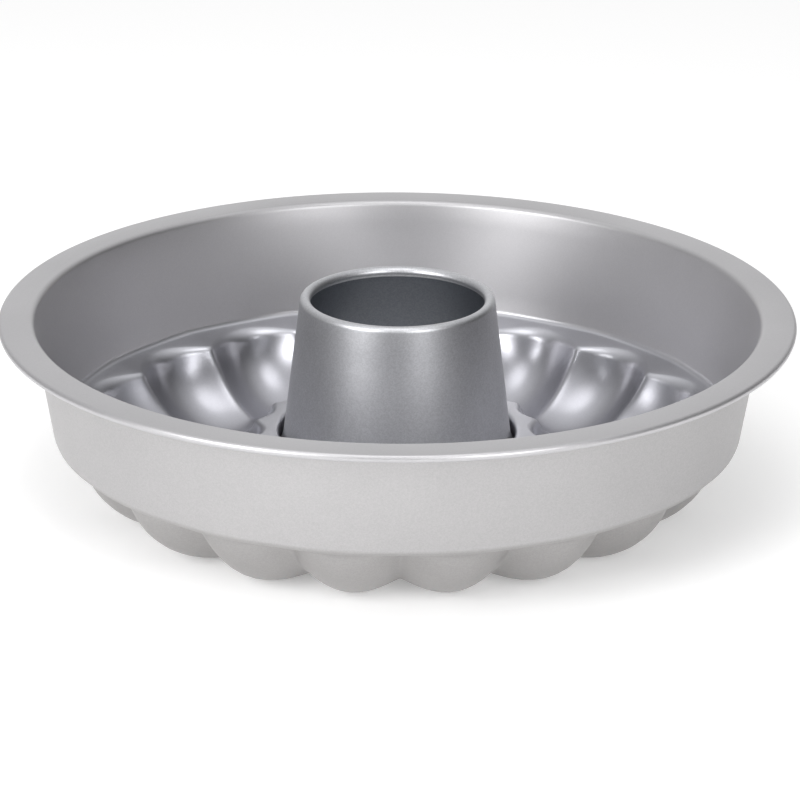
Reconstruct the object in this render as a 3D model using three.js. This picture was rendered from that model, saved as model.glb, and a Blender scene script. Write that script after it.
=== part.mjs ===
// Savarin mould: a ring-shaped cake tin pressed from sheet, with a separate centre tube.
// Millimetres, +Z up. The origin is on the axis, on the plane that the mould stands on.
import * as THREE from 'three';

// Sheet and overall size
const sheet = 0.8;
const rimRadius = 153.5;
const rimHeight = 76.4;

// Rim flange, its rolled outer edge and the conical wall below it (upper and inner faces)
const beadRadius = 1.5;
const beadCurlEnd = -135;
const beadSteps = 5;
const mouthRadius = 139.9;
const mouthCornerRadius = 2.4;
const wallFootRadius = 132.7;
const wallFootFillet = 2.2;
const ledgeHeight = 30.5;
const ledgeFall = 14;

// Ring trough with radial flutes: wide lobes between narrow ridges (upper face)
const fluteCount = 18;
const ridgeSharpness = 0.11;
const troughRadius = 90.7;
const lobeOuterRadius = 124.6;
const lobeInnerRadius = 52.5;
const lobeSideTop = 29.5;
const lobeBottom = 0.4;
const lobeBulge = 1.8;
const lobeEdgeRadius = 3;
const ridgeOuterRadius = 119.8;
const ridgeInnerRadius = 56.4;
const ridgeSideTop = 34;
const ridgeBottom = 4.5;
const ridgeBulge = 1.5;
const ridgeEdgeRadius = 3.5;

// Flat plate in the middle, with a hole whose edge is turned down into a collar
const plateHeight = 27.9;
const collarRadius = 46.2;
const collarBend = 1.8;
const collarEnd = 21;

// Centre tube: a cone with a curled lip and a foot folded round the collar
const tubeTop = 82.2;
const lipRadius = 2.1;
const lipOuterRadius = 37.8;
const lipCurlEnd = 225;
const lipSteps = 5;
const coneFootHeight = 25.5;
const coneFootRadius = 44.5;
const seamGap = 0.3;
const hookTop = 23.6;
const hookSteps = 4;

// Mesh density: columns across one flute, from -1 on a ridge through 0 in a lobe's middle towards the
// next ridge, steps round each small bend of the pan, shares of the way down a side of the trough, and
// columns round the tube. A trough's edge is found by halving an angle so many times.
const fluteColumns = [-1, -0.58, -0.14, 0.14, 0.58];
const bendSteps = 2;
const sideShares = [0.28, 0.54, 0.78, 0.94];
const tubeColumns = 48;
const edgeHalvings = 40;

// Coatings
const panColor = 0xa9a9ac;
const panRoughness = 0.38;
const tubeColor = 0x949496;
const tubeRoughness = 0.5;
const coatMetalness = 0.85;

const { degToRad, radToDeg, lerp } = THREE.MathUtils;

// Points of an arc in the radius and height plane, both ends included
function arc(centre, radius, fromDegrees, toDegrees, steps) {
  const points = [];
  for (let i = 0; i <= steps; i += 1) {
    const angle = degToRad(lerp(fromDegrees, toDegrees, i / steps));
    const spoke = new THREE.Vector2(Math.cos(angle), Math.sin(angle)).multiplyScalar(radius);
    points.push(spoke.add(centre));
  }
  return points;
}

// How far a point across a flute is towards the lobe: 0 on the rounded ridge, 1 in the lobe's middle
function lobeShare(across) {
  const arch = Math.cos(across * Math.PI / 2);
  const rounded = Math.hypot(arch, ridgeSharpness) - ridgeSharpness;
  return rounded / (Math.hypot(1, ridgeSharpness) - ridgeSharpness);
}

// A point on one side of the trough, measured from the trough's middle and the side's top, and the direction
// into the metal there. The side falls from 0 degrees, upright, to 90 at the bottom; a bulge of 2 is an ellipse.
function sidePoint(side, degrees) {
  const cosine = Math.cos(degToRad(degrees));
  const sine = Math.sin(degToRad(degrees));
  const power = 2 / side.bulge;
  const point = new THREE.Vector2(side.reach * cosine ** power, -side.depth * sine ** power);
  const inward = new THREE.Vector2(cosine ** (2 - power) / side.reach, -(sine ** (2 - power)) / side.depth);
  return { point, inward: inward.normalize() };
}

// One side of the trough from the face beside it down to the bottom: the face's rounded edge, then the side.
// The face has a height over the trough's middle, measured from the side's top, and falls towards the trough.
function troughSide(side, face) {
  const fall = degToRad(face.fall);
  let low = 0;
  let high = 90;
  for (let i = 0; i < edgeHalvings; i += 1) {
    const angle = (low + high) / 2;
    const { point, inward } = sidePoint(side, angle);
    const centre = point.addScaledVector(inward, side.edge);
    const clearance = (face.height + centre.x * Math.tan(fall) - centre.y) * Math.cos(fall);
    [low, high] = clearance < side.edge ? [angle, high] : [low, angle];
  }
  const { point, inward } = sidePoint(side, low);
  const edgeCentre = point.addScaledVector(inward, side.edge);
  const edgeEnd = 180 + radToDeg(Math.atan2(inward.y, inward.x));
  return [
    ...arc(edgeCentre, side.edge, 90 + face.fall, edgeEnd, bendSteps),
    ...sideShares.map((share) => sidePoint(side, lerp(low, 90, share)).point),
  ];
}

// The trough's section through a lobe or a ridge, from the ledge in to the plate
function troughSection(form) {
  const { bulge, edge, bottom } = form;
  const outerSide = { reach: form.outer - troughRadius, depth: form.sideTop - bottom, bulge, edge };
  const innerSide = { reach: troughRadius - form.inner, depth: plateHeight - bottom, bulge, edge };
  const ledgeDrop = (wallFootRadius - troughRadius) * Math.tan(degToRad(ledgeFall));
  const ledge = { height: ledgeHeight - ledgeDrop - form.sideTop, fall: ledgeFall };
  const plate = { height: 0, fall: 0 };
  const outer = troughSide(outerSide, ledge);
  const inner = troughSide(innerSide, plate).reverse();
  return [
    ...outer.map((point) => new THREE.Vector2(troughRadius + point.x, form.sideTop + point.y)),
    ...inner.map((point) => new THREE.Vector2(troughRadius - point.x, plateHeight + point.y)),
  ];
}

const lobeSection = troughSection({
  outer: lobeOuterRadius,
  inner: lobeInnerRadius,
  sideTop: lobeSideTop,
  bottom: lobeBottom,
  bulge: lobeBulge,
  edge: lobeEdgeRadius,
});
const ridgeSection = troughSection({
  outer: ridgeOuterRadius,
  inner: ridgeInnerRadius,
  sideTop: ridgeSideTop,
  bottom: ridgeBottom,
  bulge: ridgeBulge,
  edge: ridgeEdgeRadius,
});

// Upper face of the pan's sheet on one radius, from the end of the rolled rim in to the end of the collar
function panSection(across) {
  const share = lobeShare(across);
  const trough = ridgeSection.map((point, i) => point.clone().lerp(lobeSection[i], share));

  const draft = Math.atan2(mouthRadius - wallFootRadius, rimHeight - ledgeHeight);
  const fall = degToRad(ledgeFall);
  const mouthBend = Math.PI / 2 - draft;
  const mouthTangent = mouthCornerRadius * Math.tan(mouthBend / 2);
  const footTangent = wallFootFillet * Math.tan((mouthBend - fall) / 2);

  const beadCentre = new THREE.Vector2(rimRadius - beadRadius, rimHeight - beadRadius);
  const mouthCentre = new THREE.Vector2(mouthRadius + mouthTangent, rimHeight - mouthCornerRadius);
  const alongLedge = new THREE.Vector2(-Math.cos(fall), -Math.sin(fall));
  const fromLedge = new THREE.Vector2(-Math.sin(fall), Math.cos(fall));
  const footCentre = new THREE.Vector2(wallFootRadius, ledgeHeight)
    .addScaledVector(alongLedge, footTangent)
    .addScaledVector(fromLedge, wallFootFillet);
  const collarCentre = new THREE.Vector2(collarRadius + collarBend, plateHeight - collarBend);

  return [
    ...arc(beadCentre, beadRadius, beadCurlEnd, 90, beadSteps),
    ...arc(mouthCentre, mouthCornerRadius, 90, 90 + radToDeg(mouthBend), bendSteps),
    ...arc(footCentre, wallFootFillet, -radToDeg(draft), ledgeFall - 90, bendSteps),
    ...trough,
    ...arc(collarCentre, collarBend, 90, 180, bendSteps),
    new THREE.Vector2(collarRadius, collarEnd),
  ];
}

// Bearings of the section columns all round, with a ridge on the -Y axis
function panColumns() {
  const pitch = 2 * Math.PI / fluteCount;
  const columns = [];
  for (let flute = 0; flute < fluteCount; flute += 1) {
    for (const across of fluteColumns) {
      const bearing = -Math.PI / 2 + pitch * (flute + (across + 1) / 2);
      columns.push({ across, bearing });
    }
  }
  return columns;
}

// Triangles of a grid that closes on itself round the axis
function gridTriangles(columns, rows, first, flip) {
  const triangles = [];
  for (let c = 0; c < columns; c += 1) {
    const next = (c + 1) % columns;
    for (let r = 0; r + 1 < rows; r += 1) {
      const a = first + c * rows + r;
      const b = first + next * rows + r;
      const quad = flip ? [a, a + 1, b, b, a + 1, b + 1] : [a, b, a + 1, b, b + 1, a + 1];
      triangles.push(...quad);
    }
  }
  return triangles;
}

// The strip that closes the sheet's cut edge between its upper and its lower face
function edgeTriangles(columns, rows, row, flip) {
  const lower = columns * rows;
  const triangles = [];
  for (let c = 0; c < columns; c += 1) {
    const a = c * rows + row;
    const b = ((c + 1) % columns) * rows + row;
    const below = lower + a;
    const nextBelow = lower + b;
    const quad = flip
      ? [a, b, below, b, nextBelow, below]
      : [a, below, b, b, below, nextBelow];
    triangles.push(...quad);
  }
  return triangles;
}

// The pan: its upper face, the same face one sheet thickness lower, and the two cut edges.
// Each lobe is pressed flat at its lowest point, so the mould stands on a small land under every lobe.
function panGeometry() {
  const columns = panColumns();
  const rows = panSection(0).length;
  const upper = [];
  for (const { across, bearing } of columns) {
    for (const point of panSection(across)) {
      upper.push(point.x * Math.cos(bearing), point.x * Math.sin(bearing), point.y);
    }
  }
  const face = new THREE.BufferGeometry();
  face.setAttribute('position', new THREE.Float32BufferAttribute(upper, 3));
  face.setIndex(gridTriangles(columns.length, rows, 0, false));
  face.computeVertexNormals();

  const positions = [];
  const lowerPositions = [];
  const point = new THREE.Vector3();
  const normal = new THREE.Vector3();
  for (let i = 0; i < columns.length * rows; i += 1) {
    point.fromBufferAttribute(face.attributes.position, i);
    normal.fromBufferAttribute(face.attributes.normal, i);
    positions.push(point.x, point.y, Math.max(point.z, sheet));
    point.addScaledVector(normal, -sheet);
    lowerPositions.push(point.x, point.y, Math.max(point.z, 0));
  }
  positions.push(...lowerPositions);

  const geometry = new THREE.BufferGeometry();
  geometry.setAttribute('position', new THREE.Float32BufferAttribute(positions, 3));
  geometry.setIndex([
    ...gridTriangles(columns.length, rows, 0, false),
    ...gridTriangles(columns.length, rows, columns.length * rows, true),
    ...edgeTriangles(columns.length, rows, 0, false),
    ...edgeTriangles(columns.length, rows, rows - 1, true),
  ]);
  geometry.computeVertexNormals();
  return geometry;
}

// The tube's outer face, from the end of the curled lip over its crest, down the cone and round the hook.
// The hook's inside clears the collar by the seam gap on its inner, lower and outer side.
function tubeSection() {
  const lipCentre = new THREE.Vector2(lipOuterRadius - lipRadius, tubeTop - lipRadius);
  const hookRadius = sheet / 2 + seamGap;
  const hookCentre = new THREE.Vector2(collarRadius + sheet / 2, collarEnd - seamGap);
  return [
    ...arc(lipCentre, lipRadius, lipCurlEnd, 0, lipSteps),
    new THREE.Vector2(coneFootRadius, coneFootHeight),
    new THREE.Vector2(hookCentre.x - hookRadius, collarEnd + sheet),
    ...arc(hookCentre, hookRadius, 180, 360, hookSteps),
    new THREE.Vector2(hookCentre.x + hookRadius, hookTop),
  ];
}

// The inner face of a sheet: each point moved to the right of its path by the sheet's thickness
function innerFace(path) {
  return path.map((point, i) => {
    const before = path[Math.max(i - 1, 0)];
    const after = path[Math.min(i + 1, path.length - 1)];
    const arrive = point.clone().sub(i > 0 ? before : point);
    const leave = after.clone().sub(point);
    const along = arrive.normalize().add(leave.normalize()).normalize();
    const across = new THREE.Vector2(along.y, -along.x);
    return point.clone().addScaledVector(across, sheet);
  });
}

function tubeGeometry() {
  const outer = tubeSection();
  const loop = [...outer, ...innerFace(outer).reverse(), outer[0].clone()];
  const geometry = new THREE.LatheGeometry(loop.reverse(), tubeColumns);
  geometry.rotateX(Math.PI / 2);
  return geometry;
}

function coatedSteel(color, roughness) {
  return new THREE.MeshStandardMaterial({ color, roughness, metalness: coatMetalness });
}

const panBody = new THREE.Mesh(panGeometry(), coatedSteel(panColor, panRoughness));
panBody.name = 'pan_body';

const centreTube = new THREE.Mesh(tubeGeometry(), coatedSteel(tubeColor, tubeRoughness));
centreTube.name = 'centre_tube';

const savarinMould = new THREE.Group();
savarinMould.name = 'savarin_mould';
savarinMould.add(panBody, centreTube);

export default savarinMould;
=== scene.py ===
"""Savarin mould: the fluted ring pan and its centre tube, with their coatings, on a plain white floor."""
import math

import bpy
from mathutils import Matrix, Vector


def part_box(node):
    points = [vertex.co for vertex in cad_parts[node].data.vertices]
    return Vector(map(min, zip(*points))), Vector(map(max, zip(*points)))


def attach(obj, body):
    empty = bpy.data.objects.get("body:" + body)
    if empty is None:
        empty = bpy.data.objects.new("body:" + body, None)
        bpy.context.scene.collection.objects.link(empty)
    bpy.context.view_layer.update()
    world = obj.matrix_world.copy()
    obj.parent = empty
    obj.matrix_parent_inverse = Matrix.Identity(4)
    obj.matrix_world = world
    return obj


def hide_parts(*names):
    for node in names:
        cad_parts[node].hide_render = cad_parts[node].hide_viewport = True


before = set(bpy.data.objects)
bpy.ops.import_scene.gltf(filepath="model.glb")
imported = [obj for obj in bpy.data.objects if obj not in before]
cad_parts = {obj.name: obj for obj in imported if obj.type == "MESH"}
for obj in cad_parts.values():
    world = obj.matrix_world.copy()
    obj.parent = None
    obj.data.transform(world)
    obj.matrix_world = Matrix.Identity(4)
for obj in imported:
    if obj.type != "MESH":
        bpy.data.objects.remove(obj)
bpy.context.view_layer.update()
pan_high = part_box("pan_body")[1]
tube_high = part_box("centre_tube")[1]

# Sizes in millimetres; the three main ones come from the frame
MM = 0.001
RIM_RADIUS = pan_high.y / MM
RIM_HEIGHT = pan_high.z / MM
TUBE_TOP = tube_high.z / MM
SHEET = 0.8

# Rim flange with its rolled edge, and the conical wall below it (upper and inner faces)
BEAD_RADIUS = 1.5
BEAD_CURL_END = -135
MOUTH_RADIUS = 139.9
MOUTH_CORNER = 2.4
WALL_FOOT_RADIUS = 132.7
WALL_FOOT_FILLET = 2.8
LEDGE_HEIGHT = 30.5

# Ring trough (upper face): wide lobes between narrow ridges, and the fall of the ledge over each in degrees
FLUTES = 18
FIRST_RIDGE_BEARING = -90
RIDGE_ROUNDNESS = 0.11
TROUGH_RADIUS = 90.7
LOBE = {
    "outer": 125.4, "inner": 52.9, "side_top": 29.5, "bottom": 0.4, "bulge": 1.8,
    "fall": 20.0, "outer_edge": 8.0, "inner_edge": 2.6,
}
RIDGE = {
    "outer": 119.8, "inner": 56.4, "side_top": 34.0, "bottom": 4.5, "bulge": 1.5,
    "fall": 8.0, "outer_edge": 3.5, "inner_edge": 3.5,
}

# Middle plate, with the edge of its hole turned down into a collar
PLATE_HEIGHT = 27.9
COLLAR_RADIUS = 46.2
COLLAR_BEND = 1.8
COLLAR_END = 21.0

# Centre tube: a cone with a curled lip, and a foot folded round the collar
LIP_RADIUS = 2.1
LIP_OUTER_RADIUS = 37.8
LIP_CURL_END = 225
CONE_FOOT_HEIGHT = 25.5
CONE_FOOT_RADIUS = 44.5
SEAM_GAP = 0.3
HOOK_TOP = 23.6

# Mesh density: columns round the axis for each flute, and points along each stretch of a section
COLUMNS_PER_FLUTE = 20
COLUMN_CROWDING = 0.6
TUBE_COLUMNS_PER_FLUTE = 10
BEND_STEPS = 6
EDGE_STEPS = 10
EDGE_HALVINGS = 40
CURL_STEPS = 12
WALL_STEPS = 6
FLAT_STEPS = 2
TROUGH_STEPS = 16
WELD_DISTANCE = 0.02
SHARP_EDGE = math.radians(50)

# Camera, as fitted to the photograph: seen from the middle of the rim's plane, in rim radii and degrees
CAMERA_DISTANCE = 9.0
CAMERA_ELEVATION = 19.25
CAMERA_TURN = -0.84
CAMERA_PITCH = 20.69
CAMERA_YAW = 0.05
CAMERA_ROLL = 0.32
CAMERA_LENS = 160.9
SENSOR_WIDTH = 36.0

# Floor and softboxes, in metres
FLOOR_REACH = 3.0
FLOOR_TONE = 0.86
FLOOR_GLOW = 0.27
SOFTBOX_DISTANCE = 1.3
# Softboxes: bearing from the camera's side (left is negative), elevation, width, height and radiance
SOFTBOXES = {
    "top_softbox": (0, 73, 0.72, 0.72, 1.85),
    "key_softbox": (-42, 26, 0.55, 0.8, 9.5),
    "fill_softbox": (27, 25, 0.42, 0.8, 7.8),
}
# The studio's glows: the way each one comes from, how narrow it is, its strength
STUDIO_GLOWS = (
    ((-1, 0, 0), 1.5, 0.35),
    ((0, 1, 0), 3.5, 1.1),
    ((0, 0, 1), 3.0, 1.25),
)

# Coating effects: shares and scales of the noises, and the ranges of them that become masks from 0 to 1
FLECK_CELL_SHARE = 0.45
GRAIN_CLOUDS_PER_FLECK = 0.45
FLECK_RANGE = (0.25, 0.75)
RING_BREAKS_PER_METRE = 22.0
RING_BREAK_RANGE = (0.35, 0.65)
HAZE_RANGE = (0.3, 0.7)
MASK_MIDDLE = 0.5

# Looks of the coatings: tones as linear colours, heights in millimetres, flecks, rings and clouds per metre
BLACK = (0, 0, 0, 1)
WHITE = (1, 1, 1, 1)
# Below the wall's foot the pan's coatings change tone over these heights: painted shade and painted
# reflection, not a different coating
LEDGE_BLEND = (20.0, 29.0)
WALL_BLEND = (30.6, 32.2)
INSIDE_LOOK = {
    "metalness": 0.9, "tone": (0.54, 0.534, 0.547), "roughness": 0.44,
    # painted reflection and shade: a bluish ledge, and a darker, bluish trough
    "ledge_shade_and_reflection_tone": (0.53, 0.533, 0.57),
    "trough_shade_and_reflection_tone": (0.412, 0.412, 0.446), "trough_roughness": 0.31,
    "flecks": 2600.0, "fleck_depth": 0.05, "rings": 700.0, "clouds": 14.0,
    "haze_depth": 0.05, "haze_roughness": 0.02, "ring_roughness": 0.015,
    "grain_height": 0.001, "ring_height": 0.002,
}
OUTSIDE_LOOK = {
    "metalness": 1.0, "tone": (0.515, 0.507, 0.51), "roughness": 0.56,
    # painted shade: the outer faces of the ledge and lobes are drawn darker
    "ledge_shade_and_reflection_tone": (0.455, 0.446, 0.444),
    "trough_shade_and_reflection_tone": (0.448, 0.438, 0.435), "trough_roughness": 0.56,
    "flecks": 2600.0, "fleck_depth": 0.1, "rings": 500.0, "clouds": 12.0,
    "haze_depth": 0.05, "haze_roughness": 0.03, "ring_roughness": 0.02,
    "grain_height": 0.006, "ring_height": 0.004,
}
TUBE_LOOK = {
    "metalness": 1.0, "tone": (0.625, 0.63, 0.655), "roughness": 0.45,
    "flecks": 2200.0, "fleck_depth": 0.16, "rings": 500.0, "clouds": 20.0,
    "haze_depth": 0.06, "haze_roughness": 0.04, "ring_roughness": 0.02,
    "grain_height": 0.008, "ring_height": 0.003,
}
# The bore's darker, bluer tone is painted shade inside the tube
BORE_SHADE_LOOK = {**TUBE_LOOK, "tone": (0.31, 0.325, 0.358), "roughness": 0.36}


# Sections in the radius and height plane

def arc(centre, radius, start, end, steps):
    """Points of an arc, both ends included; angles in degrees."""
    points = []
    for i in range(steps + 1):
        angle = math.radians(start + (end - start) * i / steps)
        points.append((centre[0] + radius * math.cos(angle), centre[1] + radius * math.sin(angle)))
    return points


def straight(start, end, steps):
    """Points between two ends of a straight stretch, neither end included."""
    shares = [i / steps for i in range(1, steps)]
    return [tuple(a + (b - a) * share for a, b in zip(start, end)) for share in shares]


def trough_side(edge_radius, top, bottom, bulge, start, end):
    """Part of the rounded quarter that falls from the trough's mouth (0 degrees) to its bottom (90).
    A bulge of 2 is an ellipse, a smaller one is flatter."""
    points = []
    for i in range(TROUGH_STEPS + 1):
        angle = math.radians(start + (end - start) * i / TROUGH_STEPS)
        across = max(math.cos(angle), 0.0) ** (2 / bulge)
        down = max(math.sin(angle), 0.0) ** (2 / bulge)
        points.append((TROUGH_RADIUS + (edge_radius - TROUGH_RADIUS) * across, top + (bottom - top) * down))
    return points


def rolled_edge(reach, depth, bulge, radius, height_above):
    """The round edge between a face and the trough's side, found by halving. height_above gives how far the
    face lies above a point, which is measured from the trough's middle and the side's top.
    Returns the degrees on the side where the edge ends, its centre, and the tilt of the side there."""
    low, high = 0.0, math.pi / 2
    power = 2 / bulge
    for _ in range(EDGE_HALVINGS):
        angle = (low + high) / 2
        tilt = math.atan2(math.sin(angle) ** (2 - power) / depth, math.cos(angle) ** (2 - power) / reach)
        across = reach * math.cos(angle) ** power + radius * math.cos(tilt)
        down = depth * math.sin(angle) ** power + radius * math.sin(tilt)
        low, high = (angle, high) if height_above(across, -down) < radius else (low, angle)
    return math.degrees(angle), (across, -down), math.degrees(tilt)


def outer_trough(trough):
    """The trough's outer side with its rounded edge, from the falling ledge down to the bottom."""
    fall = math.radians(trough["fall"])
    top = trough["side_top"]

    def height_above(across, up):
        ledge = LEDGE_HEIGHT - (WALL_FOOT_RADIUS - TROUGH_RADIUS - across) * math.tan(fall)
        return (ledge - top - up) * math.cos(fall)

    reach, depth = trough["outer"] - TROUGH_RADIUS, top - trough["bottom"]
    radius = trough["outer_edge"]
    leave, centre, tilt = rolled_edge(reach, depth, trough["bulge"], radius, height_above)
    middle = (TROUGH_RADIUS + centre[0], top + centre[1])
    edge = arc(middle, radius, 90 + trough["fall"], 180 - tilt, EDGE_STEPS)
    side = trough_side(trough["outer"], top, trough["bottom"], trough["bulge"], leave, 90)
    return edge + side[1:]


def inner_trough(trough):
    """The trough's inner side with its rounded edge, from the bottom up to the level plate."""
    reach, depth = TROUGH_RADIUS - trough["inner"], PLATE_HEIGHT - trough["bottom"]
    radius = trough["inner_edge"]
    arrive, centre, tilt = rolled_edge(reach, depth, trough["bulge"], radius, lambda across, up: -up)
    middle = (TROUGH_RADIUS - centre[0], PLATE_HEIGHT + centre[1])
    side = trough_side(trough["inner"], PLATE_HEIGHT, trough["bottom"], trough["bulge"], 90, arrive)
    return side[1:] + arc(middle, radius, tilt, 90, EDGE_STEPS)[1:]


def pan_section(trough):
    """The pan's upper face on one radius, from the end of the rolled rim in to the end of the collar."""
    draft = math.atan2(MOUTH_RADIUS - WALL_FOOT_RADIUS, RIM_HEIGHT - LEDGE_HEIGHT)
    fall = math.radians(trough["fall"])
    mouth_bend = math.pi / 2 - draft
    mouth_tangent = MOUTH_CORNER * math.tan(mouth_bend / 2)
    foot_tangent = WALL_FOOT_FILLET * math.tan((mouth_bend - fall) / 2)
    bead = (RIM_RADIUS - BEAD_RADIUS, RIM_HEIGHT - BEAD_RADIUS)
    mouth = (MOUTH_RADIUS + mouth_tangent, RIM_HEIGHT - MOUTH_CORNER)
    foot = (
        WALL_FOOT_RADIUS - foot_tangent * math.cos(fall) - WALL_FOOT_FILLET * math.sin(fall),
        LEDGE_HEIGHT - foot_tangent * math.sin(fall) + WALL_FOOT_FILLET * math.cos(fall),
    )
    collar = (COLLAR_RADIUS + COLLAR_BEND, PLATE_HEIGHT - COLLAR_BEND)

    rolled = arc(bead, BEAD_RADIUS, BEAD_CURL_END, 90, CURL_STEPS)
    corner = arc(mouth, MOUTH_CORNER, 90, 90 + math.degrees(mouth_bend), BEND_STEPS)
    fillet = arc(foot, WALL_FOOT_FILLET, -math.degrees(draft), trough["fall"] - 90, BEND_STEPS)
    outer = outer_trough(trough)
    inner = inner_trough(trough)
    collar_bend = arc(collar, COLLAR_BEND, 90, 180, BEND_STEPS)
    return (
        rolled + straight(rolled[-1], corner[0], FLAT_STEPS)
        + corner + straight(corner[-1], fillet[0], WALL_STEPS)
        + fillet + straight(fillet[-1], outer[0], FLAT_STEPS)
        + outer + inner + straight(inner[-1], collar_bend[0], FLAT_STEPS)
        + collar_bend + [(COLLAR_RADIUS, COLLAR_END)]
    )


def tube_section():
    """The tube's outer face on one radius, from the end of the folded foot up to the curled lip's end."""
    lip = (LIP_OUTER_RADIUS - LIP_RADIUS, TUBE_TOP - LIP_RADIUS)
    hook_radius = SHEET / 2 + SEAM_GAP
    hook = (COLLAR_RADIUS + SHEET / 2, COLLAR_END - SEAM_GAP)
    fold = arc(hook, hook_radius, 360, 180, BEND_STEPS)
    curl = arc(lip, LIP_RADIUS, 0, LIP_CURL_END, CURL_STEPS)
    foot = (CONE_FOOT_RADIUS, CONE_FOOT_HEIGHT)
    neck = (hook[0] - hook_radius, COLLAR_END + SHEET)
    return (
        [(hook[0] + hook_radius, HOOK_TOP)] + fold + [neck, foot]
        + straight(foot, curl[0], WALL_STEPS) + curl
    )


def section_object(name, points):
    """A helper line of points that a sweep reads: radius on X, height on Z."""
    mesh = bpy.data.meshes.new(name)
    vertices = [(radius * MM, 0, height * MM) for radius, height in points]
    edges = [(i, i + 1) for i in range(len(vertices) - 1)]
    mesh.from_pydata(vertices, edges, [])
    helper = bpy.data.objects.new(name, mesh)
    bpy.context.scene.collection.objects.link(helper)
    return helper


# Node building

def feed(tree, socket, value):
    """Links an output to a socket, or sets the socket's own value."""
    if isinstance(value, bpy.types.NodeSocket):
        tree.links.new(value, socket)
    else:
        socket.default_value = value


def add(tree, kind, inputs=None, **settings):
    """A new node with its settings, and its input sockets fed by name or number."""
    node = tree.nodes.new(kind)
    for name, value in settings.items():
        setattr(node, name, value)
    for key, value in (inputs or {}).items():
        feed(tree, node.inputs[key], value)
    return node


def calc(tree, operation, *values):
    """The output of a Math node."""
    return add(tree, "ShaderNodeMath", dict(enumerate(values)), operation=operation).outputs[0]


def mix(tree, data_type, suffix, factor, first, second):
    """The output of a Mix node; the suffix ends the identifiers of the sockets of its data type."""
    node = add(tree, "ShaderNodeMix", {"Factor": factor}, data_type=data_type)
    sockets = {socket.identifier: socket for socket in node.inputs}
    feed(tree, sockets["A_" + suffix], first)
    feed(tree, sockets["B_" + suffix], second)
    return next(socket for socket in node.outputs if socket.identifier == "Result_" + suffix)


def mix_vector(tree, factor, first, second):
    """A point between two points."""
    return mix(tree, "VECTOR", "Vector", factor, first, second)


def mix_color(tree, factor, first, second):
    """A colour between two colours."""
    return mix(tree, "RGBA", "Color", factor, first, second)


def group_sockets(tree, inputs, outputs):
    """Named sockets on a node group: name -> (socket type, default value or None)."""
    for direction, sockets in (("INPUT", inputs), ("OUTPUT", outputs)):
        for name, (kind, default) in sockets.items():
            socket = tree.interface.new_socket(name, in_out=direction, socket_type=kind)
            if default is not None:
                socket.default_value = default


# Geometry Nodes: a pressed sheet swept round the axis between two sections

def column_bearing(tree, given, column):
    """How many flutes round the axis a column is, and its bearing. Columns crowd towards the ridges."""
    even = calc(tree, "DIVIDE", column, given["Columns per Flute"])
    wave = calc(tree, "SINE", calc(tree, "MULTIPLY", even, math.tau))
    crowd = calc(tree, "MULTIPLY", calc(tree, "DIVIDE", wave, math.tau), given["Column Crowding"])
    flutes_round = calc(tree, "SUBTRACT", even, crowd)
    turn = calc(tree, "MULTIPLY", calc(tree, "DIVIDE", flutes_round, given["Flutes"]), math.tau)
    return flutes_round, calc(tree, "ADD", turn, given["First Bearing"])


def lobe_share(tree, given, flutes_round):
    """The share of the lobe's section: 0 on a rounded ridge, 1 in the lobe's middle."""
    roundness = given["Ridge Roundness"]
    roundness_squared = calc(tree, "MULTIPLY", roundness, roundness)

    def rounded(height):
        squared = calc(tree, "MULTIPLY", height, height)
        slant = calc(tree, "SQRT", calc(tree, "ADD", squared, roundness_squared))
        return calc(tree, "SUBTRACT", slant, roundness)

    arch = calc(tree, "SINE", calc(tree, "MULTIPLY", flutes_round, math.pi))
    return calc(tree, "DIVIDE", rounded(arch), rounded(1.0))


def section_point(tree, section, row):
    """The point of a section on one row of the sweep."""
    position = add(tree, "GeometryNodeInputPosition").outputs[0]
    inputs = {"Geometry": section, "Value": position, "Index": row}
    return add(tree, "GeometryNodeSampleIndex", inputs, data_type="FLOAT_VECTOR").outputs["Value"]


def swept_position(tree, given, lobe, ridge, rows):
    """Where each point of the grid goes: rows run along the section, columns round the axis.
    What would reach below the standing plane is cut flat on it."""
    index = add(tree, "GeometryNodeInputIndex").outputs[0]
    row = calc(tree, "MODULO", index, rows)
    column = calc(tree, "FLOOR", calc(tree, "DIVIDE", index, rows))
    flutes_round, bearing = column_bearing(tree, given, column)
    share = lobe_share(tree, given, flutes_round)
    point = mix_vector(tree, share, section_point(tree, ridge, row), section_point(tree, lobe, row))
    place = add(tree, "ShaderNodeSeparateXYZ", {0: point}).outputs
    return add(tree, "ShaderNodeCombineXYZ", {
        "X": calc(tree, "MULTIPLY", place["X"], calc(tree, "COSINE", bearing)),
        "Y": calc(tree, "MULTIPLY", place["X"], calc(tree, "SINE", bearing)),
        "Z": calc(tree, "MAXIMUM", place["Z"], given["Sheet"]),
    }).outputs[0]


def weld(tree, mesh):
    """A mesh with its doubled points merged."""
    inputs = {"Geometry": mesh, "Distance": WELD_DISTANCE * MM}
    return add(tree, "GeometryNodeMergeByDistance", inputs).outputs[0]


def coated(tree, mesh, material):
    """A mesh with one material."""
    return add(tree, "GeometryNodeSetMaterial", {"Geometry": mesh, "Material": material}).outputs[0]


def sheet_behind(tree, given, front):
    """The whole sheet: the front face, and one thickness behind it the other face and the cut edges."""
    normal = add(tree, "GeometryNodeInputNormal").outputs[0]
    backwards = calc(tree, "MULTIPLY", given["Sheet"], -1.0)
    offset = add(tree, "ShaderNodeVectorMath", {0: normal, "Scale": backwards}, operation="SCALE")
    back = add(tree, "GeometryNodeExtrudeMesh", {
        "Mesh": front,
        "Offset": offset.outputs[0],
        "Individual": False,
    }, mode="FACES").outputs["Mesh"]
    back = add(tree, "GeometryNodeFlipFaces", {"Mesh": back}).outputs[0]
    join = add(tree, "GeometryNodeJoinGeometry")
    tree.links.new(coated(tree, back, given["Back Coating"]), join.inputs[0])
    tree.links.new(coated(tree, front, given["Front Coating"]), join.inputs[0])
    return weld(tree, join.outputs[0])


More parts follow.
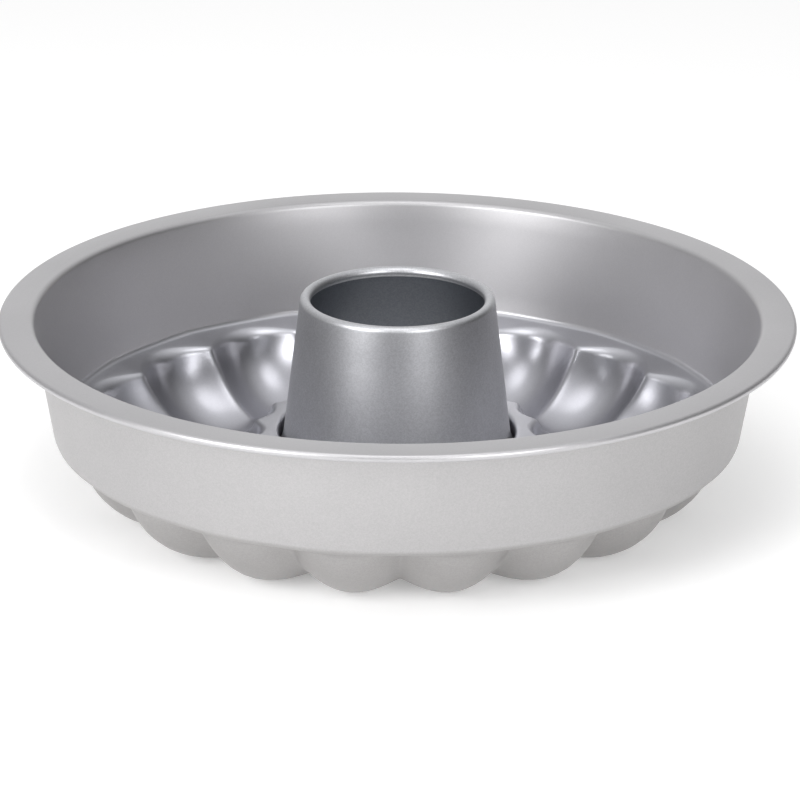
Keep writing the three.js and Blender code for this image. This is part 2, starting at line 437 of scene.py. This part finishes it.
def sheet_sweep_tree():
    """A sheet swept round the Z axis. Its section swings between the ridge's and the lobe's once a flute."""
    tree = bpy.data.node_groups.new("sheet_sweep", "GeometryNodeTree")
    inputs = {
        "Lobe Section": ("NodeSocketObject", None),
        "Ridge Section": ("NodeSocketObject", None),
        "Flutes": ("NodeSocketInt", FLUTES),
        "Columns per Flute": ("NodeSocketInt", COLUMNS_PER_FLUTE),
        "Ridge Roundness": ("NodeSocketFloat", RIDGE_ROUNDNESS),
        "Column Crowding": ("NodeSocketFloat", COLUMN_CROWDING),
        "First Bearing": ("NodeSocketFloat", math.radians(FIRST_RIDGE_BEARING)),
        "Sheet": ("NodeSocketFloat", SHEET * MM),
        "Front Coating": ("NodeSocketMaterial", None),
        "Back Coating": ("NodeSocketMaterial", None),
    }
    group_sockets(tree, inputs, {"Geometry": ("NodeSocketGeometry", None)})
    given = add(tree, "NodeGroupInput").outputs
    lobe = add(tree, "GeometryNodeObjectInfo", {"Object": given["Lobe Section"]}).outputs["Geometry"]
    ridge = add(tree, "GeometryNodeObjectInfo", {"Object": given["Ridge Section"]}).outputs["Geometry"]
    size = add(tree, "GeometryNodeAttributeDomainSize", {"Geometry": lobe}, component="MESH")
    rows = size.outputs["Point Count"]
    columns = calc(tree, "MULTIPLY", given["Flutes"], given["Columns per Flute"])
    grid = add(tree, "GeometryNodeMeshGrid", {
        "Vertices X": calc(tree, "ADD", columns, 1),
        "Vertices Y": rows,
    }).outputs["Mesh"]
    position = swept_position(tree, given, lobe, ridge, rows)
    front = add(tree, "GeometryNodeSetPosition", {"Geometry": grid, "Position": position}).outputs[0]
    sheet = sheet_behind(tree, given, weld(tree, front))
    smooth = add(tree, "GeometryNodeSetShadeSmooth", {"Geometry": sheet}).outputs[0]
    whole = add(tree, "GeometryNodeRealizeInstances", {"Geometry": smooth}).outputs[0]
    add(tree, "NodeGroupOutput", {"Geometry": whole})
    return tree


def swept_piece(name, tree, inputs):
    """A plain mesh object made by the sweep with these inputs."""
    holder = bpy.data.objects.new(name + "_sweep", bpy.data.meshes.new(name + "_empty"))
    bpy.context.scene.collection.objects.link(holder)
    modifier = holder.modifiers.new("sweep", "NODES")
    modifier.node_group = tree
    identifiers = {s.name: s.identifier for s in tree.interface.items_tree if s.in_out == "INPUT"}
    for label, value in inputs.items():
        modifier[identifiers[label]] = value
    depsgraph = bpy.context.evaluated_depsgraph_get()
    mesh = bpy.data.meshes.new_from_object(holder.evaluated_get(depsgraph))
    bpy.data.objects.remove(holder)
    mesh.name = name
    mesh.set_sharp_from_angle(angle=SHARP_EDGE)
    piece = bpy.data.objects.new(name, mesh)
    bpy.context.scene.collection.objects.link(piece)
    return piece


# Coating effects

def shader_group(name, inputs, outputs):
    """An empty shader node group with named sockets, its inputs' outputs and its output node."""
    tree = bpy.data.node_groups.new(name, "ShaderNodeTree")
    group_sockets(tree, inputs, outputs)
    given = add(tree, "NodeGroupInput").outputs
    result = add(tree, "NodeGroupOutput")
    return tree, given, result.inputs


def ramp(tree, value, low, high, to_low=0.0, to_high=1.0):
    """A value spread from one range to another, clamped."""
    inputs = {"Value": value, "From Min": low, "From Max": high, "To Min": to_low, "To Max": to_high}
    return add(tree, "ShaderNodeMapRange", inputs).outputs["Result"]


def noise(tree, vector, scale, detail=2.0, roughness=0.5):
    """The value of a noise texture."""
    inputs = {"Vector": vector, "Scale": scale, "Detail": detail, "Roughness": roughness}
    return add(tree, "ShaderNodeTexNoise", inputs).outputs["Fac"]


def coating_grain_group():
    """The fine pigment grain of the sprayed coating: a fleck mask and its height."""
    inputs = {"Vector": ("NodeSocketVector", None), "Flecks per Metre": ("NodeSocketFloat", 2000.0)}
    outputs = {"Flecks": ("NodeSocketFloat", None), "Height": ("NodeSocketFloat", None)}
    tree, given, result = shader_group("coating_grain", inputs, outputs)
    scale = given["Flecks per Metre"]
    cells = add(tree, "ShaderNodeTexVoronoi", {"Vector": given["Vector"], "Scale": scale})
    tone = add(tree, "ShaderNodeSeparateColor", {0: cells.outputs["Color"]}).outputs["Red"]
    cloud_scale = calc(tree, "MULTIPLY", scale, GRAIN_CLOUDS_PER_FLECK)
    cloud = noise(tree, given["Vector"], cloud_scale, detail=3.0, roughness=0.6)
    cell_part = calc(tree, "MULTIPLY", tone, FLECK_CELL_SHARE)
    cloud_part = calc(tree, "MULTIPLY", cloud, 1 - FLECK_CELL_SHARE)
    flecks = calc(tree, "ADD", cell_part, cloud_part)
    feed(tree, result["Flecks"], ramp(tree, flecks, *FLECK_RANGE))
    feed(tree, result["Height"], cloud)
    return tree


def press_rings_group():
    """Faint drawing marks that run round the axis, broken up along their length."""
    inputs = {"Vector": ("NodeSocketVector", None), "Rings per Metre": ("NodeSocketFloat", 600.0)}
    outputs = {"Rings": ("NodeSocketFloat", None)}
    tree, given, result = shader_group("press_rings", inputs, outputs)
    place = add(tree, "ShaderNodeSeparateXYZ", {0: given["Vector"]}).outputs
    flat = add(tree, "ShaderNodeCombineXYZ", {"X": place["X"], "Y": place["Y"]}).outputs[0]
    radius = add(tree, "ShaderNodeVectorMath", {0: flat}, operation="LENGTH").outputs["Value"]
    across = add(tree, "ShaderNodeCombineXYZ", {"X": radius, "Z": place["Z"]}).outputs[0]
    lines = noise(tree, across, given["Rings per Metre"], roughness=0.7)
    patches = noise(tree, given["Vector"], RING_BREAKS_PER_METRE, detail=1.0)
    unbroken = ramp(tree, patches, *RING_BREAK_RANGE)
    centred = calc(tree, "MULTIPLY", calc(tree, "SUBTRACT", lines, MASK_MIDDLE), unbroken)
    feed(tree, result["Rings"], calc(tree, "ADD", centred, MASK_MIDDLE))
    return tree


def handling_haze_group():
    """Wide soft clouds where the coating is a little thicker or has been wiped."""
    inputs = {"Vector": ("NodeSocketVector", None), "Clouds per Metre": ("NodeSocketFloat", 16.0)}
    outputs = {"Haze": ("NodeSocketFloat", None)}
    tree, given, result = shader_group("handling_haze", inputs, outputs)
    wide = noise(tree, given["Vector"], given["Clouds per Metre"], detail=3.0, roughness=0.55)
    feed(tree, result["Haze"], ramp(tree, wide, *HAZE_RANGE))
    return tree


GRAIN = coating_grain_group()
RINGS = press_rings_group()
HAZE = handling_haze_group()


# Coatings

def place_group(tree, group, inputs):
    """The outputs of a shader group placed in a material with its own values."""
    node = add(tree, "ShaderNodeGroup", node_tree=group)
    for name, value in inputs.items():
        feed(tree, node.inputs[name], value)
    return node.outputs


def swing(tree, mask, amount):
    """A value that swings by an amount either way as a mask goes from 0 to 1."""
    centred = calc(tree, "SUBTRACT", mask, MASK_MIDDLE)
    return calc(tree, "MULTIPLY", centred, 2 * amount)


def base_tone(tree, place, look):
    """A look's tone and roughness before its flecks, rings and haze.
    A look with a trough tone has tones of its own in the trough and on the ledge, below the wall's foot;
    these are painted shade and painted reflection."""
    wall_tone = (*look["tone"], 1)
    if "trough_shade_and_reflection_tone" not in look:
        return wall_tone, look["roughness"]
    # Painted shade and reflection: the tone moves to the darker, bluer trough and ledge tones below the
    # wall's foot
    height = add(tree, "ShaderNodeSeparateXYZ", {0: place}).outputs["Z"]
    ledge_range = [level * MM for level in LEDGE_BLEND]
    wall_range = [level * MM for level in WALL_BLEND]
    on_ledge = ramp(tree, height, *ledge_range)
    on_wall = ramp(tree, height, *wall_range)
    below = mix_color(tree, on_ledge, (*look["trough_shade_and_reflection_tone"], 1), (*look["ledge_shade_and_reflection_tone"], 1))
    tone = mix_color(tree, on_wall, below, wall_tone)
    roughness = ramp(tree, height, *wall_range, look["trough_roughness"], look["roughness"])
    return tone, roughness


def coating(name, look):
    """A silver-grey coating: tone by fleck and haze, roughness by haze and rings, and a fine bump."""
    material = bpy.data.materials.new(name)
    material.use_nodes = True
    tree = material.node_tree
    shader = tree.nodes["Principled BSDF"]
    shader.inputs["Metallic"].default_value = look["metalness"]
    place = add(tree, "ShaderNodeTexCoord").outputs["Object"]
    grain = place_group(tree, GRAIN, {"Vector": place, "Flecks per Metre": look["flecks"]})
    rings = place_group(tree, RINGS, {"Vector": place, "Rings per Metre": look["rings"]})
    haze = place_group(tree, HAZE, {"Vector": place, "Clouds per Metre": look["clouds"]})
    tone, roughness = base_tone(tree, place, look)

    dark = mix_color(tree, look["fleck_depth"], tone, BLACK)
    flecked = mix_color(tree, grain["Flecks"], dark, tone)
    hazed = calc(tree, "MULTIPLY", haze["Haze"], look["haze_depth"])
    feed(tree, shader.inputs["Base Color"], mix_color(tree, hazed, flecked, BLACK))

    by_haze = swing(tree, haze["Haze"], look["haze_roughness"])
    by_rings = swing(tree, rings["Rings"], look["ring_roughness"])
    varied = calc(tree, "ADD", calc(tree, "ADD", roughness, by_haze), by_rings)
    feed(tree, shader.inputs["Roughness"], varied)

    grain_relief = calc(tree, "MULTIPLY", grain["Height"], look["grain_height"] * MM)
    ring_relief = calc(tree, "MULTIPLY", rings["Rings"], look["ring_height"] * MM)
    relief = calc(tree, "ADD", grain_relief, ring_relief)
    bump = add(tree, "ShaderNodeBump", {"Height": relief, "Distance": 1.0, "Strength": 1.0})
    feed(tree, shader.inputs["Normal"], bump.outputs["Normal"])
    return material


# The two pieces

sweep = sheet_sweep_tree()
pan_lobe = section_object("pan_lobe_section", pan_section(LOBE))
pan_ridge = section_object("pan_ridge_section", pan_section(RIDGE))
tube_line = section_object("tube_section", tube_section())
pan = swept_piece("fluted_pan", sweep, {
    "Lobe Section": pan_lobe,
    "Ridge Section": pan_ridge,
    "Front Coating": coating("pan_inside_coating", INSIDE_LOOK),
    "Back Coating": coating("pan_outside_coating", OUTSIDE_LOOK),
})
tube = swept_piece("cone_tube", sweep, {
    "Lobe Section": tube_line,
    "Ridge Section": tube_line,
    "Columns per Flute": TUBE_COLUMNS_PER_FLUTE,
    "Column Crowding": 0.0,
    "Front Coating": coating("tube_coating", TUBE_LOOK),
    "Back Coating": coating("tube_bore_shaded_coating", BORE_SHADE_LOOK),
})
for helper in (pan_lobe, pan_ridge, tube_line):
    bpy.data.objects.remove(helper)
for piece, node, slot in ((pan, "pan_body", "pan_coating"), (tube, "centre_tube", "tube_coating")):
    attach(piece, "root")
    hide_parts(node)


# Floor, light and camera

def white_floor():
    """A matt white floor with a faint glow, which keeps the mould's shadow."""
    mesh = bpy.data.meshes.new("floor")
    corners = [(-1, -1), (1, -1), (1, 1), (-1, 1)]
    mesh.from_pydata([(x * FLOOR_REACH, y * FLOOR_REACH, 0) for x, y in corners], [], [(0, 1, 2, 3)])
    floor = bpy.data.objects.new("floor", mesh)
    bpy.context.scene.collection.objects.link(floor)
    material = bpy.data.materials.new("white_floor")
    material.use_nodes = True
    shader = material.node_tree.nodes["Principled BSDF"]
    shader.inputs["Base Color"].default_value = (FLOOR_TONE, FLOOR_TONE, FLOOR_TONE, 1)
    shader.inputs["Roughness"].default_value = 1.0
    shader.inputs["Specular IOR Level"].default_value = 0.0
    shader.inputs["Emission Color"].default_value = WHITE
    shader.inputs["Emission Strength"].default_value = FLOOR_GLOW
    mesh.materials.append(material)


def softbox(name, bearing, elevation, width, height, radiance):
    """An oval light that faces the mould; its power follows from the radiance wanted."""
    data = bpy.data.lights.new(name, "AREA")
    data.shape = "ELLIPSE"
    data.size = width
    data.size_y = height
    area = math.pi * width * height / 4
    data.energy = math.pi * area * radiance
    light = bpy.data.objects.new(name, data)
    turn, rise = math.radians(bearing), math.radians(elevation)
    toward = Vector((math.sin(turn) * math.cos(rise), -math.cos(turn) * math.cos(rise), math.sin(rise)))
    light.location = SOFTBOX_DISTANCE * toward
    light.rotation_euler = (-toward).to_track_quat("-Z", "Y").to_euler()
    bpy.context.scene.collection.objects.link(light)


def studio_world():
    """Soft glows from several sides; the camera sees plain white."""
    world = bpy.data.worlds.new("studio")
    world.use_nodes = True
    tree = world.node_tree
    direction = add(tree, "ShaderNodeTexCoord").outputs["Generated"]
    sky = 0.0
    for side, narrowness, strength in STUDIO_GLOWS:
        facing = add(tree, "ShaderNodeVectorMath", {0: direction, 1: side}, operation="DOT_PRODUCT")
        glow = calc(tree, "POWER", calc(tree, "MAXIMUM", facing.outputs["Value"], 0.0), narrowness)
        sky = calc(tree, "MULTIPLY_ADD", glow, strength, sky)
    seen = add(tree, "ShaderNodeLightPath").outputs["Is Camera Ray"]
    grey = add(tree, "ShaderNodeCombineXYZ", {"X": sky, "Y": sky, "Z": sky}).outputs[0]
    feed(tree, tree.nodes["Background"].inputs["Color"], mix_color(tree, seen, grey, WHITE))
    bpy.context.scene.world = world


def photo_camera():
    """The camera at the photograph's place, with its small roll."""
    pitch, yaw, roll = (math.radians(a) for a in (CAMERA_PITCH, CAMERA_YAW, CAMERA_ROLL))
    elevation = math.radians(CAMERA_ELEVATION)
    ahead = Vector((math.sin(yaw) * math.cos(pitch), math.cos(yaw) * math.cos(pitch), -math.sin(pitch)))
    level = ahead.cross(Vector((0, 0, 1))).normalized()
    upright = level.cross(ahead)
    right = level * math.cos(roll) + upright * math.sin(roll)
    up = upright * math.cos(roll) - level * math.sin(roll)
    placed = Matrix((right, up, -ahead)).transposed().to_4x4()
    distance = CAMERA_DISTANCE * RIM_RADIUS * MM
    placed.translation = distance * Vector((0, -math.cos(elevation), math.sin(elevation)))
    data = bpy.data.cameras.new("photo_camera")
    data.lens = CAMERA_LENS
    data.sensor_width = SENSOR_WIDTH
    camera = bpy.data.objects.new("photo_camera", data)
    rim_centre = Matrix.Translation((0, 0, RIM_HEIGHT * MM))
    camera.matrix_world = rim_centre @ Matrix.Rotation(math.radians(CAMERA_TURN), 4, "Z") @ placed
    bpy.context.scene.collection.objects.link(camera)
    bpy.context.scene.camera = camera


white_floor()
for box_name, box_values in SOFTBOXES.items():
    softbox(box_name, *box_values)
studio_world()
photo_camera()
bpy.context.scene.view_settings.view_transform = "Standard"
